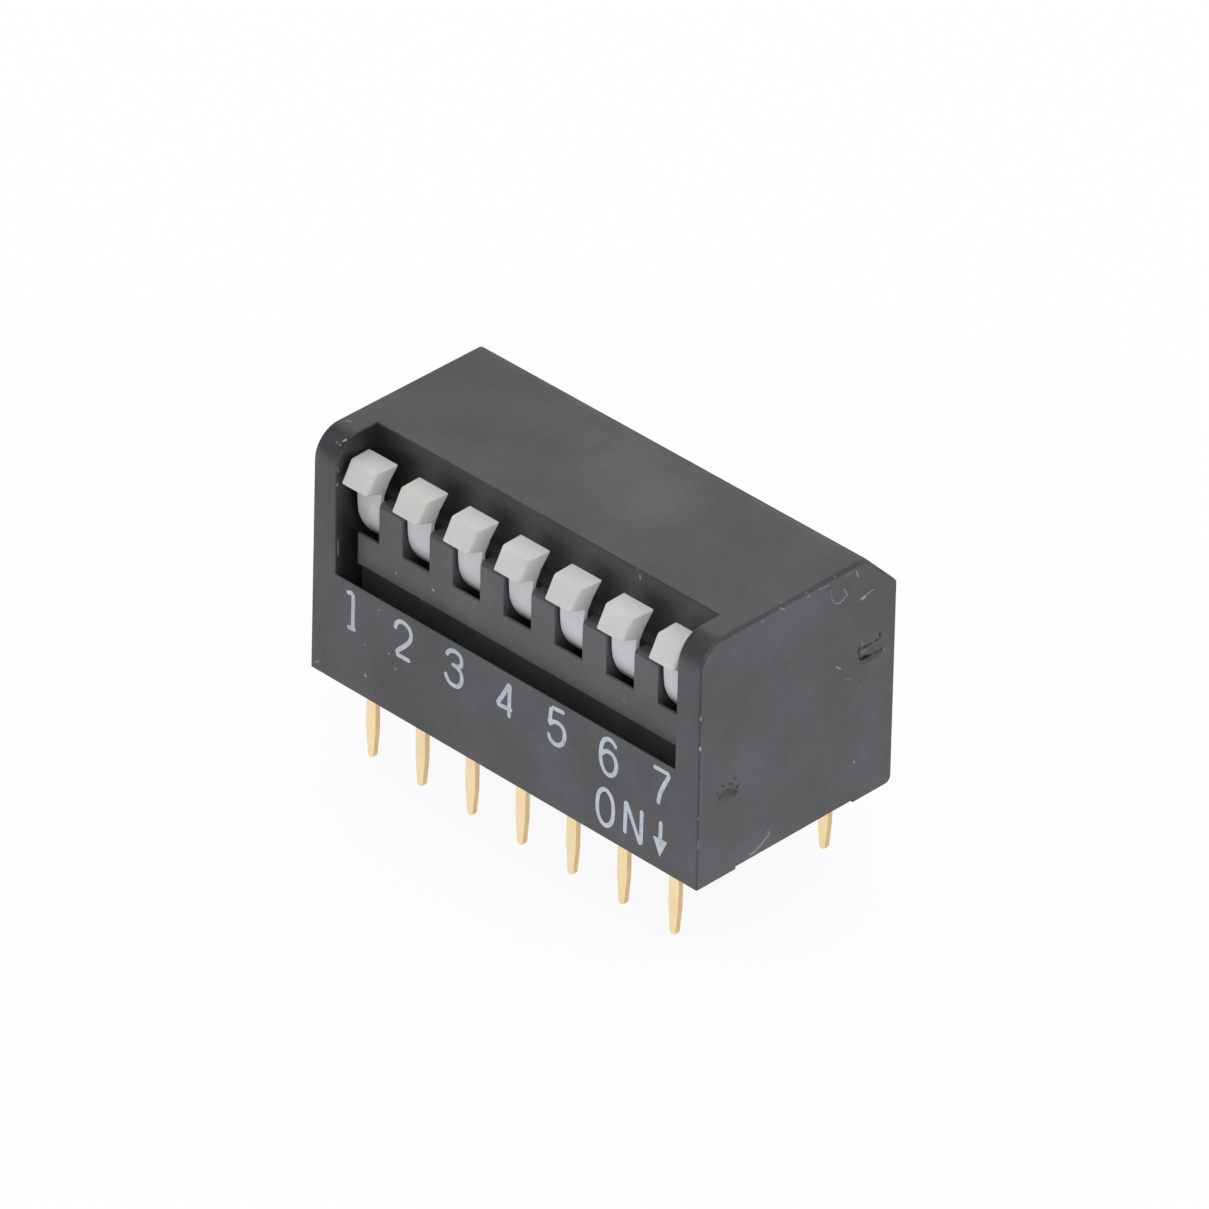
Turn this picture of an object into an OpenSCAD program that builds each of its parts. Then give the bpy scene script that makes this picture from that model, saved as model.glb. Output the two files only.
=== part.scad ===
// A row of piano-key switches in one case, for through-hole mounting.
// Each lever pivots on two trunnions. Pressed down, it carries its wiper
// across two fixed contact strips, which are the inner ends of the pins.
// X runs along the row, the levers face -Y, and Z = 0 is at the pin tips.

/* [Row] */
// Number of levers in the row
poles = 7; // [2:1:10]
// Distance from one lever to the next, and from pin to pin
pitch = 2.54; // [2.54:0.01:3.1]
// Distance between the two rows of pins
row_gap = 7.62; // [7.3:0.01:7.8]

/* [Case] */
// Case depth, front to back
case_d = 9.9; // [9.6:0.05:11.9]
// Case height, without the pins
case_h = 10.14; // [10.0:0.01:12.2]
// Thickness of the front, back and end walls
wall = 0.6; // [0.5:0.05:0.75]
// Thickness of the roof
roof_t = 0.8; // [0.65:0.05:0.95]
// Width of the posts at both ends of the window
post_w = 1.12; // [0.95:0.01:1.35]
// How much wider each end stands at the foot than at the top
end_draft = 0.12; // [0:0.01:0.15]
// Radius along the front top edge
front_r = 1.15; // [0.9:0.05:1.4]
// Size of the bevel along the back top edge
back_bevel = 1.65; // [1.3:0.05:2]
// Radius along the back bottom edge
foot_r = 0.28; // [0.2:0.01:0.35]
// Height of the window, from its lower edge to the top of the case
window_h = 5.53; // [5.1:0.01:5.8]
// Depth of the window in the roof
window_d = 2; // [1.8:0.05:2.2]
// Height of the shallow step under both end walls
foot_step = 0.1; // [0.05:0.01:0.2]

/* [Levers] */
// Width of a lever's neck, hub and tail
lever_w = 1.2; // [1:0.01:1.45]
// Width of a head at its front face
head_front_w = 1.28; // [1.1:0.01:1.5]
// Width of a head at its back
head_back_w = 1.5; // [1.3:0.01:1.6]
// Angle from off to on
throw = 28; // [23:0.5:28]
// Radius of a lever's hub
hub_r = 0.85; // [0.7:0.05:0.85]
// Radius of the trunnions
trunnion_r = 0.4; // [0.3:0.01:0.48]
// How far a trunnion stands out of its lever
trunnion_l = 0.35; // [0.3:0.01:0.42]

/* [Pins and contacts] */
// Length of a pin below the case
pin_drop = 3.4; // [2.8:0.1:4.1]
// Width of a pin
pin_w = 0.5; // [0.42:0.01:0.6]
// Thickness of a pin and its contact strip
strip_t = 0.25; // [0.2:0.01:0.3]
// Width of a contact strip
strip_w = 0.42; // [0.35:0.01:0.5]
// Distance from the pivot down to a wiper's contact bumps
wiper_r = 4.15; // [3.8:0.05:4.5]
// Thickness of the sheet that a wiper is made of
wiper_t = 0.15; // [0.12:0.01:0.18]

/* [Fits] */
// Gap on each side of a lever in its slot
side_gap = 0.07; // [0.05:0.01:0.1]
// Gap round a trunnion in its bed
trunnion_gap = 0.03; // [0.01:0.01:0.06]
// Gap between the base and the case
case_gap = 0.05; // [0.02:0.01:0.1]
// Gap between a wiper and its strips
wiper_gap = 0.03; // [0.02:0.01:0.06]

/* [Hidden] */
$fn = 48;
eps = 0.01;
big = 40;

// Case
window_w = (poles - 1) * pitch + 1.68;
case_l = window_w + 2 * (post_w + end_draft);
front_y = -case_d / 2;
window_y = front_y + window_d;
sill_h = case_h - window_h;
chamber_w = case_l - 2 * end_draft - 2 * wall;
roof_z = case_h - roof_t;
inner_bevel = back_bevel + (sqrt(2) - 1) * wall - roof_t;
foot_step_d = 0.6 * case_d;

// Pivot, comb and bays
comb_y = front_y + wall + case_gap;
pivot_y = comb_y + 2.55;
pivot_z = case_h - 3.19;
tooth_z = pivot_z + 1.02;
tooth_r = 0.18;
slot_w = lever_w + 2 * side_gap;
slot_z = pivot_z - 0.66;
tooth_w = pitch - slot_w;
bar_z = pivot_z - 2;
bar_w = window_w - 0.86;
bar_t = 0.6;
kick_t = 0.25;
shelf_t = 0.35;
shelf_z = tooth_z - shelf_t;
bay_end_y = pivot_y + 2.6;
bed_r = trunnion_r + trunnion_gap;
finger_z = pivot_z + trunnion_r + 0.05;

// A lever's side view, as [back, up] from the pivot
head_top_back = [-1.66, 2.34];
head_top_front = [-2.73, 2.38];
head_front_foot = [-3.2, 1.61];
head_back_foot = [-2.36, 1.36];
neck_mid = [0.03, 0.69];
neck_r = 2.45;
neck_start = neck_mid - [neck_r, 0];
neck_sweep_r = 2.52;
arm_front = [comb_y + bar_t - pivot_y - case_gap, shelf_z - pivot_z - case_gap];
root_back = [-2.22, 1];
spine_foot = [-2.2, 1.2];
spine_tip = [-1.98, 1.6];
tail_w = 0.8;

// Contact track, as radii round the pivot
track_r = wiper_r + wiper_gap;
deck_z = pivot_z - wiper_r + 0.3;
track_edge = acos((pivot_z - deck_z) / track_r);
overtravel = 5;
strip_x = strip_w / 2 + 0.1;
bump_r = 0.2;
tail_r = wiper_r - 2 * bump_r - wiper_t + 0.05;
wiper_leg = 0.9;

// Pins
base_foot = 0.3;
tip_h = 1.2;
tip_w = 0.3;

// Snap lugs that hold the base in the case
lug_d = 1.4;
lug_h = 0.7;
lug_out = 0.25;
lug_y = 2.2;
lug_z = 1.1;
lug_gap = 0.03;

function pole_x(i) = (i - (poles + 1) / 2) * pitch;

// A point at a radius from the pivot, turned from straight down to the back
function swung(r, angle) = [pivot_y + r * sin(angle), pivot_z - r * cos(angle)];

// Flat shapes drawn as [back, up], pulled along the row
module along_row(width) {
    rotate([90, 0, 90]) linear_extrude(width, center = true) children();
}

// Flat shapes drawn as [along the row, up], pulled from front to back
module front_to_back(depth) {
    rotate([90, 0, 0]) linear_extrude(depth, center = true) children();
}

// A shape that stands round the pivot, in one bay
module at_pivot(x) {
    translate([x, pivot_y, pivot_z]) children();
}

// The posts between the bays, and those outside the end bays
module at_each_post() {
    for (i = [0 : poles]) translate([pole_x(i + 0.5), 0, 0]) children();
}

// What rounding takes off a corner, with the solid to its right and below
module corner_waste(r) {
    difference() {
        translate([-eps, -r]) square(r + eps);
        translate([r, -r]) circle(r);
    }
}

module case_side() {
    difference() {
        translate([front_y, 0]) square([case_d, case_h]);
        translate([front_y, case_h]) corner_waste(front_r);
        translate([-front_y, 0]) rotate(180) corner_waste(foot_r);
        translate([-front_y, case_h]) rotate(-45)
            square([2 * back_bevel, sqrt(2) * back_bevel], center = true);
    }
}

module case_end() {
    foot = case_l / 2;
    top = foot - end_draft;
    polygon([[-foot, 0], [foot, 0], [top, case_h], [-top, case_h]]);
}

// The room inside the case, from y to the back wall
module chamber_side(y) {
    back = -front_y - wall;
    polygon([
        [y, -eps], [back, -eps], [back, roof_z - inner_bevel],
        [back - inner_bevel, roof_z], [y, roof_z]
    ]);
}

// The window, whose lower edge slopes down inwards
module window_side() {
    sill_back_z = sill_h - wall;
    polygon([
        [front_y - 1, sill_h + 1], [front_y, sill_h], [front_y + wall, sill_back_z],
        [window_y, sill_back_z], [window_y, case_h + 1], [front_y - 1, case_h + 1]
    ]);
}

module snap_lugs(gap = 0) {
    out = lug_out + case_gap + gap;
    for (side = [0, 180], y = [-lug_y, lug_y]) {
        translate([0, y, lug_z]) rotate(side) translate([chamber_w / 2 - case_gap, 0, 0])
            front_to_back(lug_d + 2 * gap) polygon([
                [-0.2, -gap], [0, -gap], [out, lug_h / 2 - gap], [out, lug_h + gap], [-0.2, lug_h + gap]
            ]);
    }
}

// The wall behind the window, with a shelf that stops the levers when they are off
module lip() {
    shelf_w = window_w + 2 * eps;
    shelf_y = comb_y + bar_t + case_gap;
    translate([-chamber_w / 2 - eps, window_y, shelf_z])
        cube([chamber_w + 2 * eps, wall, roof_z - shelf_z + eps]);
    translate([-shelf_w / 2, shelf_y, shelf_z])
        cube([shelf_w, window_y - shelf_y + eps, shelf_t]);
}

// Fingers from the roof that keep the trunnions in their beds
module hold_down_fingers() {
    finger_w = tooth_w - 2 * case_gap;
    finger_d = 2 * trunnion_r;
    intersection() {
        at_each_post() translate([-finger_w / 2, pivot_y - finger_d / 2, finger_z])
            cube([finger_w, finger_d, roof_z - finger_z + eps]);
        translate([-chamber_w / 2 - eps, -big / 2, 0]) cube([chamber_w + 2 * eps, big, big]);
    }
}

module case() {
    color("#2b2a2d") translate([0, 0, pin_drop]) {
        difference() {
            intersection() {
                along_row(big) case_side();
                front_to_back(big) case_end();
            }
            along_row(window_w) chamber_side(front_y + wall);
            along_row(chamber_w) chamber_side(window_y);
            along_row(window_w) window_side();
            translate([-big / 2, -foot_step_d / 2, -eps]) cube([big, foot_step_d, foot_step + eps]);
            snap_lugs(lug_gap);
        }
        lip();
        hold_down_fingers();
    }
}

// The wall between two bays, low under the shelf. Above the bar it comes forward as a tooth
module bay_wall_side(front, tooth) {
    low_z = shelf_z - case_gap;
    step_y = window_y + wall + case_gap;
    translate([front, deck_z - eps]) square([bay_end_y - front, low_z - deck_z + eps]);
    translate([step_y, deck_z]) square([bay_end_y - step_y, tooth_z - deck_z]);
    if (tooth) difference() {
        translate([comb_y, bar_z]) square([bar_t + eps, tooth_z - bar_z]);
        translate([comb_y, tooth_z]) corner_waste(tooth_r);
    }
}

module bay_walls() {
    for (i = [1 : poles - 1]) translate([pole_x(i + 0.5), 0, 0])
        along_row(tooth_w) bay_wall_side(comb_y + bar_t, true);
    intersection() {
        for (i = [0.5, poles + 0.5]) translate([pole_x(i), 0, 0])
            along_row(tooth_w) bay_wall_side(window_y + 2 * case_gap, false);
        translate([-chamber_w / 2 + case_gap, -big / 2, 0]) cube([chamber_w - 2 * case_gap, big, big]);
    }
}

// The bar under the slots, hollowed at the back where the necks sweep past
module comb_bar() {
    difference() {
        translate([-bar_w / 2, comb_y, bar_z]) cube([bar_w, bar_t + eps, slot_z - bar_z]);
        for (i = [1 : poles]) at_pivot(pole_x(i)) along_row(slot_w) circle(neck_sweep_r);
    }
}

// The plate that closes the bays below the bar, set back behind it
module kick_plate() {
    plate_w = window_w - 2 * case_gap;
    translate([-plate_w / 2, comb_y + bar_t, deck_z - eps])
        cube([plate_w, kick_t, bar_z - deck_z + 2 * eps]);
}

// Beds for the trunnions, open at the top, with a slot for each finger
module trunnion_beds() {
    bed_w = slot_w + 2 * trunnion_l;
    for (i = [1 : poles]) at_pivot(pole_x(i)) {
        rotate([0, 90, 0]) cylinder(h = bed_w, r = bed_r, center = true);
        translate([-bed_w / 2, -bed_r, 0]) cube([bed_w, 2 * bed_r, big]);
    }
    at_each_post() translate([-tooth_w / 2 - eps, pivot_y - bed_r, finger_z - case_gap])
        cube([tooth_w + 2 * eps, 2 * bed_r, big]);
}

module base_block() {
    front_w = window_w - 2 * case_gap;
    back_w = chamber_w - 2 * case_gap;
    step_y = window_y + 2 * case_gap;
    back_y = -front_y - wall - case_gap;
    difference() {
        union() {
            translate([-front_w / 2, comb_y, base_foot])
                cube([front_w, back_y - comb_y, deck_z - base_foot]);
            translate([-back_w / 2, step_y, base_foot])
                cube([back_w, back_y - step_y, deck_z - base_foot]);
        }
        for (i = [1 : poles]) at_pivot(pole_x(i)) along_row(slot_w) circle(track_r);
    }
}

module base() {
    color("#2b2a2d") translate([0, 0, pin_drop]) difference() {
        union() {
            base_block();
            bay_walls();
            comb_bar();
            kick_plate();
            snap_lugs();
        }
        trunnion_beds();
        for (i = [1 : poles]) {
            front_terminal_shape(pole_x(i));
            rear_terminal_shape(pole_x(i));
        }
    }
}

// The head, narrower at the front than at the back
module lever_head() {
    front = head_front_foot[0];
    back = head_top_back[0];
    intersection() {
        along_row(big) polygon([head_top_back, head_top_front, head_front_foot, head_back_foot]);
        translate([0, 0, -big / 2]) linear_extrude(big) polygon([
            [-head_front_w / 2, front], [head_front_w / 2, front],
            [head_back_w / 2, back], [-head_back_w / 2, back]
        ]);
    }
}

// Neck, arm, hub and tail, as [back, up] from the pivot
module lever_side() {
    intersection() {
        translate(neck_mid) circle(neck_r, $fn = 96);
        polygon([
            [-3, neck_mid[1]], [-2.2, neck_mid[1]], arm_front, [-0.4, arm_front[1]],
            [0, 0.6], [0.2, -0.6], [-0.9, -1.5], [-2.4, -1.5], [-3, -0.5]
        ]);
    }
    // the root of the head, with a low spine up its back
    polygon([
        neck_start, head_back_foot, head_back_foot + [0.1, 0.3], spine_tip + [-0.14, 0.18], spine_tip,
        spine_foot, root_back, arm_front, arm_front - [0, 0.3], neck_start + [0.12, -0.4]
    ]);
    circle(hub_r);
    rotate(-throw / 2) translate([-tail_w / 2, -tail_r]) square([tail_w, tail_r]);
}

module lever(i) {
    color("#d9d8d4") translate([0, 0, pin_drop]) at_pivot(pole_x(i)) {
        lever_head();
        along_row(lever_w) lever_side();
        rotate([0, 90, 0]) cylinder(h = lever_w + 2 * trunnion_l, r = trunnion_r, center = true);
    }
}

// A clip bent round the end of the tail, with two bumps below
module wiper(i) {
    clip_w = 2 * (strip_x + strip_w / 2);
    out = tail_w / 2 + wiper_t;
    color("#c9a24a") translate([0, 0, pin_drop]) at_pivot(pole_x(i)) rotate([-throw / 2, 0, 0]) {
        along_row(clip_w) difference() {
            translate([-out, -tail_r - wiper_t]) square([2 * out, wiper_leg + wiper_t]);
            translate([-tail_w / 2, -tail_r]) square([tail_w, 2 * wiper_leg]);
        }
        for (x = [-strip_x, strip_x]) translate([x, 0, -wiper_r + bump_r])
            rotate([0, 90, 0]) cylinder(h = strip_w, r = bump_r, center = true);
    }
}

// A pin from its rounded tip up to z = 0, and on up into the base
module pin_outline(top) {
    tip_z = -pin_drop + tip_w / 2;
    translate([0, tip_z]) circle(tip_w / 2);
    polygon([
        [-tip_w / 2, tip_z], [tip_w / 2, tip_z], [pin_w / 2, -pin_drop + tip_h],
        [pin_w / 2, top], [-pin_w / 2, top], [-pin_w / 2, -pin_drop + tip_h]
    ]);
}

// A contact strip from its pin along the deck and down into the track
module strip_side(pin_y, from, to) {
    intersection() {
        difference() {
            union() {
                translate([min(pin_y, pivot_y), deck_z - strip_t])
                    square([abs(pin_y - pivot_y), strip_t]);
                intersection() {
                    translate([pivot_y, pivot_z]) circle(track_r + strip_t, $fn = 96);
                    polygon([
                        swung(0, 0), swung(2 * track_r, from),
                        swung(2 * track_r, (from + to) / 2), swung(2 * track_r, to)
                    ]);
                }
            }
            translate([pivot_y, pivot_z]) circle(track_r, $fn = 96);
        }
        translate([-big / 2, 0]) square([big, deck_z]);
    }
}

// side is -1 where the strip lies left of the pin, 1 where it lies right
module terminal_shape(x, pin_y, side, from, to) {
    riser_z = base_foot + 0.5;
    translate([x, 0, 0]) {
        difference() {
            translate([0, pin_y, 0]) front_to_back(strip_t) {
                pin_outline(deck_z);
                translate([side * strip_x, (riser_z + deck_z) / 2])
                    square([strip_w, deck_z - riser_z], center = true);
            }
            at_pivot(0) along_row(slot_w) circle(track_r, $fn = 96);
        }
        translate([side * strip_x, 0, 0]) along_row(strip_w) strip_side(pin_y, from, to);
    }
}

module front_terminal_shape(x) {
    terminal_shape(x, -row_gap / 2, -1, -track_edge - 2, throw / 2 + overtravel);
}

module rear_terminal_shape(x) {
    terminal_shape(x, row_gap / 2, 1, throw / 2 - overtravel, track_edge + 2);
}

module front_terminal(i) {
    color("#e6c27a") translate([0, 0, pin_drop]) front_terminal_shape(pole_x(i));
}

module rear_terminal(i) {
    color("#e6c27a") translate([0, 0, pin_drop]) rear_terminal_shape(pole_x(i));
}

case();
base();
for (i = [1 : poles]) {
    lever(i);
    wiper(i);
    front_terminal(i);
    rear_terminal(i);
}
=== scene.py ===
import math

import bpy
from mathutils import Matrix, Vector


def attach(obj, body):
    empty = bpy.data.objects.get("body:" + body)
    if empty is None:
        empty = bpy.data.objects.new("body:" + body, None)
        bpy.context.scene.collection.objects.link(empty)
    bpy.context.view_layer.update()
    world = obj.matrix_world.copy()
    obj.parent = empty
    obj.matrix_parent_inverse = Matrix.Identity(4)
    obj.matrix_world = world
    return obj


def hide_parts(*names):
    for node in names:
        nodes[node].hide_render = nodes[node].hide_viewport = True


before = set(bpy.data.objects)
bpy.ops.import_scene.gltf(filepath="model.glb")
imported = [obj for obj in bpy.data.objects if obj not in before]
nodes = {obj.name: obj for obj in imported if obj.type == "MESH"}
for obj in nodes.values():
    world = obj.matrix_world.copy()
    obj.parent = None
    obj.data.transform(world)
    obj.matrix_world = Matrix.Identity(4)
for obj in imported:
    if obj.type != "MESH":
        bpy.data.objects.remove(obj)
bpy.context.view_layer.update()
mm = 0.001
scene = bpy.context.scene
keyCount = sum(1 for name in nodes if name.startswith("lever_"))
keyPitch = 2.54
middleKey = (keyCount + 1) // 2
print("frame loaded with", keyCount, "levers")


def keyX(i):
    return (i - (keyCount + 1) / 2) * keyPitch


def deselectAll():
    if bpy.context.mode != "OBJECT":
        bpy.ops.object.mode_set(mode="OBJECT")
    bpy.ops.object.select_all(action="DESELECT")


def pick(obj):
    deselectAll()
    obj.select_set(True)
    bpy.context.view_layer.objects.active = obj


def applied(obj, kind, **values):
    pick(obj)
    modifier = obj.modifiers.new(kind.lower(), kind)
    for key, value in values.items():
        setattr(modifier, key, value)
    bpy.ops.object.modifier_apply(modifier=modifier.name)


def settle(obj):  # puts the place, turn and size of an object into its mesh
    pick(obj)
    bpy.ops.object.transform_apply(location=True, rotation=True, scale=True)


def dressed(obj, material):
    obj.data.materials.clear()
    obj.data.materials.append(material)


# a node's mesh with its loose triangles merged back into whole faces
def cleanCopy(node, name):
    obj = bpy.data.objects.new(name, nodes[node].data.copy())
    scene.collection.objects.link(obj)
    obj.data.name = name
    obj.data.materials.clear()
    pick(obj)
    bpy.ops.object.mode_set(mode="EDIT")
    bpy.ops.mesh.select_all(action="SELECT")
    bpy.ops.mesh.remove_doubles(threshold=0.002 * mm)
    bpy.ops.mesh.dissolve_limited(angle_limit=math.radians(1.5))
    bpy.ops.object.mode_set(mode="OBJECT")
    return obj


def copied(obj, name, shift):
    new = obj.copy()
    new.data = obj.data.copy()
    new.name = new.data.name = name
    scene.collection.objects.link(new)
    new.data.transform(Matrix.Translation(Vector(shift) * mm))
    return new


# rounds each edge by the width in mm that widthOf(middle, turn, convex) gives it, and
# leaves an attribute "edge" that is 1 on the rounded edges and 0 on the faces between them
def roundEdges(obj, widthOf, segments=3):
    mesh = obj.data
    sides = {}
    for face in mesh.polygons:
        corners = list(face.vertices)
        for a, b in zip(corners, corners[1:] + corners[:1]):
            way = (mesh.vertices[b].co - mesh.vertices[a].co).normalized()
            sides.setdefault((min(a, b), max(a, b)), []).append((face.normal.copy(), way))
    widths = []
    for edge in mesh.edges:
        a, b = (mesh.vertices[i].co for i in edge.vertices)
        pair = sides.get(edge.key, [])
        width = 0
        if len(pair) == 2 and min(normal.length for normal, way in pair) > 0.5:
            (first, way), (second, other) = pair
            turn = math.degrees(first.angle(second))
            if turn > 20:
                width = widthOf((a + b) / 2 / mm, turn, first.cross(second).dot(way) > 0)
        widths.append(width)
    widest = max(widths)
    weights = mesh.attributes.new("bevel_weight_edge", "FLOAT", "EDGE")
    weights.data.foreach_set("value", [w / widest for w in widths])
    mesh.materials.clear()
    for name in ("flatFaces", "roundedFaces"):
        mesh.materials.append(bpy.data.materials.get(name) or bpy.data.materials.new(name))
    applied(obj, "BEVEL", width=widest * mm, segments=segments, limit_method="WEIGHT", material=1,
            use_clamp_overlap=False, loop_slide=False)
    onFlat = set()
    for face in mesh.polygons:
        if face.material_index == 0:
            onFlat.update(face.vertices)
        face.material_index = 0
    edge = mesh.attributes.new("edge", "FLOAT", "POINT")
    edge.data.foreach_set("value", [0.0 if i in onFlat else 1.0 for i in range(len(mesh.vertices))])
    mesh.materials.clear()


def evenShading(obj, angle=35):
    pick(obj)
    bpy.ops.object.shade_smooth_by_angle(angle=math.radians(angle))
    applied(obj, "WEIGHTED_NORMAL", mode="FACE_AREA", weight=50, keep_sharp=True)


# shader helpers: values are set on a node's inputs by name, and settings on the node itself
def addNode(tree, kind, values=None, **settings):
    node = tree.nodes.new("ShaderNode" + kind)
    for key, value in settings.items():
        setattr(node, key, value)
    for key, value in (values or {}).items():
        if isinstance(value, bpy.types.NodeSocket):
            tree.links.new(value, node.inputs[key])
        else:
            node.inputs[key].default_value = value
    return node


def mathNode(tree, operation, a, b=0.0, clamp=False):
    return addNode(tree, "Math", {0: a, 1: b}, operation=operation, use_clamp=clamp).outputs[0]


def smoothStep(tree, value, low, high):
    return addNode(tree, "MapRange", {"Value": value, "From Min": low, "From Max": high},
                   interpolation_type="SMOOTHSTEP").outputs["Result"]


def mixColour(tree, mask, a, b):
    node = addNode(tree, "Mix", data_type="RGBA")
    for key, value in ((0, mask), (6, a), (7, b)):
        if isinstance(value, bpy.types.NodeSocket):
            tree.links.new(value, node.inputs[key])
        else:
            node.inputs[key].default_value = value if key == 0 else (*value, 1)
    return node.outputs[2]


def newGroup(name, inputs, outputs):
    group = bpy.data.node_groups.new(name, "ShaderNodeTree")
    for label, kind, default in inputs:
        socket = group.interface.new_socket(name=label, in_out="INPUT", socket_type="NodeSocket" + kind)
        if default is not None:
            socket.default_value = default
    for label, kind in outputs:
        group.interface.new_socket(name=label, in_out="OUTPUT", socket_type="NodeSocket" + kind)
    return group, group.nodes.new("NodeGroupInput"), group.nodes.new("NodeGroupOutput")


def useGroup(tree, group, values):
    node = tree.nodes.new("ShaderNodeGroup")
    node.node_tree = group
    for key, value in values.items():
        if isinstance(value, bpy.types.NodeSocket):
            tree.links.new(value, node.inputs[key])
        else:
            node.inputs[key].default_value = value
    return node.outputs


# fine tool texture of a moulded face, with slow and middling unevenness of tone
def makeGrainGroup():
    group, inside, outside = newGroup(
        "mouldedGrain",
        [("Position", "Vector", None), ("Fineness", "Float", 14.0), ("Unevenness", "Float", 0.5)],
        [("Height", "Float"), ("Tone", "Float")])
    place = inside.outputs["Position"]
    fine = addNode(group, "TexNoise", {"Vector": place, "Scale": inside.outputs["Fineness"],
                                       "Detail": 3.0, "Roughness": 0.6}).outputs["Fac"]
    slow = addNode(group, "TexNoise", {"Vector": place, "Scale": inside.outputs["Unevenness"],
                                       "Detail": 2.0, "Roughness": 0.5}).outputs["Fac"]
    closer = mathNode(group, "MULTIPLY", inside.outputs["Unevenness"], 9.0)
    middling = addNode(group, "TexNoise", {"Vector": place, "Scale": closer,
                                           "Detail": 4.0, "Roughness": 0.65}).outputs["Fac"]
    swell = mathNode(group, "MULTIPLY", slow, 0.6)
    group.links.new(mathNode(group, "ADD", fine, swell), outside.inputs["Height"])
    mixed = mathNode(group, "ADD", mathNode(group, "MULTIPLY", slow, 0.5),
                     mathNode(group, "ADD", mathNode(group, "MULTIPLY", middling, 0.3),
                              mathNode(group, "MULTIPLY", fine, 0.2)))
    group.links.new(smoothStep(group, mixed, 0.36, 0.64), outside.inputs["Tone"])
    return group


# small flecks along the rounded edges
def makeEdgeGroup():
    group, inside, outside = newGroup(
        "edgeRub", [("Edge", "Float", 0.0), ("Position", "Vector", None), ("Fleck Scale", "Float", 3.0),
                    ("Amount", "Float", 0.5)], [("Mask", "Float")])
    fleck = addNode(group, "TexNoise", {"Vector": inside.outputs["Position"],
                                        "Scale": inside.outputs["Fleck Scale"],
                                        "Detail": 4.0, "Roughness": 0.65}).outputs["Fac"]
    floorLevel = mathNode(group, "SUBTRACT", 0.78, mathNode(group, "MULTIPLY", inside.outputs["Amount"], 0.4))
    patch = smoothStep(group, fleck, floorLevel, mathNode(group, "ADD", floorLevel, 0.1))
    group.links.new(mathNode(group, "MULTIPLY", patch, inside.outputs["Edge"]), outside.inputs["Mask"])
    return group


# scattered specks of dust
def makeDustGroup():
    group, inside, outside = newGroup(
        "dustSpecks", [("Position", "Vector", None), ("Spacing", "Float", 1.0), ("Share", "Float", 0.2),
                       ("Size", "Float", 0.05)], [("Mask", "Float")])
    cells = addNode(group, "TexVoronoi", {"Vector": inside.outputs["Position"],
                                          "Scale": inside.outputs["Spacing"]}, feature="F1")
    chance = addNode(group, "SeparateColor", {"Color": cells.outputs["Color"]})
    chosen = mathNode(group, "LESS_THAN", chance.outputs[0], inside.outputs["Share"])
    size = mathNode(group, "MULTIPLY", inside.outputs["Size"], mathNode(group, "ADD", chance.outputs[1], 0.3))
    near = smoothStep(group, cells.outputs["Distance"], size, mathNode(group, "MULTIPLY", size, 0.4))
    group.links.new(mathNode(group, "MULTIPLY", near, chosen), outside.inputs["Mask"])
    return group


# one straight stroke between two points in mm, for a scratch and for a painted glint alike
def makeScratchAndGlintGroup():
    group, inside, outside = newGroup(
        "scratchAndGlintStroke", [("Position", "Vector", None), ("From", "Vector", None), ("To", "Vector", None),
                          ("Width", "Float", 0.05), ("Strength", "Float", 1.0)], [("Mask", "Float")])
    start, end = inside.outputs["From"], inside.outputs["To"]

    def vector(operation, a, b=None, scale=None):
        values = {0: a}
        if b is not None:
            values[1] = b
        if scale is not None:
            values["Scale"] = scale
        return addNode(group, "VectorMath", values, operation=operation)

    along = vector("SUBTRACT", end, start).outputs[0]
    offset = vector("SUBTRACT", inside.outputs["Position"], start).outputs[0]
    share = mathNode(group, "DIVIDE", vector("DOT_PRODUCT", offset, along).outputs["Value"],
                     vector("DOT_PRODUCT", along, along).outputs["Value"], clamp=True)
    nearest = vector("SCALE", along, scale=share).outputs[0]
    distance = vector("LENGTH", vector("SUBTRACT", offset, nearest).outputs[0]).outputs["Value"]
    ragged = addNode(group, "TexNoise", {"Vector": inside.outputs["Position"], "Scale": 18.0,
                                         "Detail": 2.0}).outputs["Fac"]
    half = mathNode(group, "MULTIPLY", inside.outputs["Width"], ragged)
    rim, core = (mathNode(group, "MULTIPLY", half, part) for part in (1.3, 0.4))
    line = smoothStep(group, distance, rim, core)
    group.links.new(mathNode(group, "MULTIPLY", line, inside.outputs["Strength"]), outside.inputs["Mask"])
    return group


grainGroup, edgeGroup = makeGrainGroup(), makeEdgeGroup()
dustGroup, scratchAndGlintGroup = makeDustGroup(), makeScratchAndGlintGroup()


def newMaterial(name, **sockets):
    material = bpy.data.materials.new(name)
    material.use_nodes = True
    tree = material.node_tree
    shader = tree.nodes["Principled BSDF"]
    for key, value in sockets.items():
        shader.inputs[key.replace("_", " ")].default_value = value
    place = addNode(tree, "TexCoord").outputs["Object"]
    position = addNode(tree, "VectorMath", {0: place, "Scale": 1 / mm}, operation="SCALE").outputs[0]
    return material, tree, shader, position


def bumped(tree, shader, height, strength, distance):
    bump = addNode(tree, "Bump", {"Height": height, "Strength": strength, "Distance": distance * mm})
    tree.links.new(bump.outputs[0], shader.inputs["Normal"])
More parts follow.
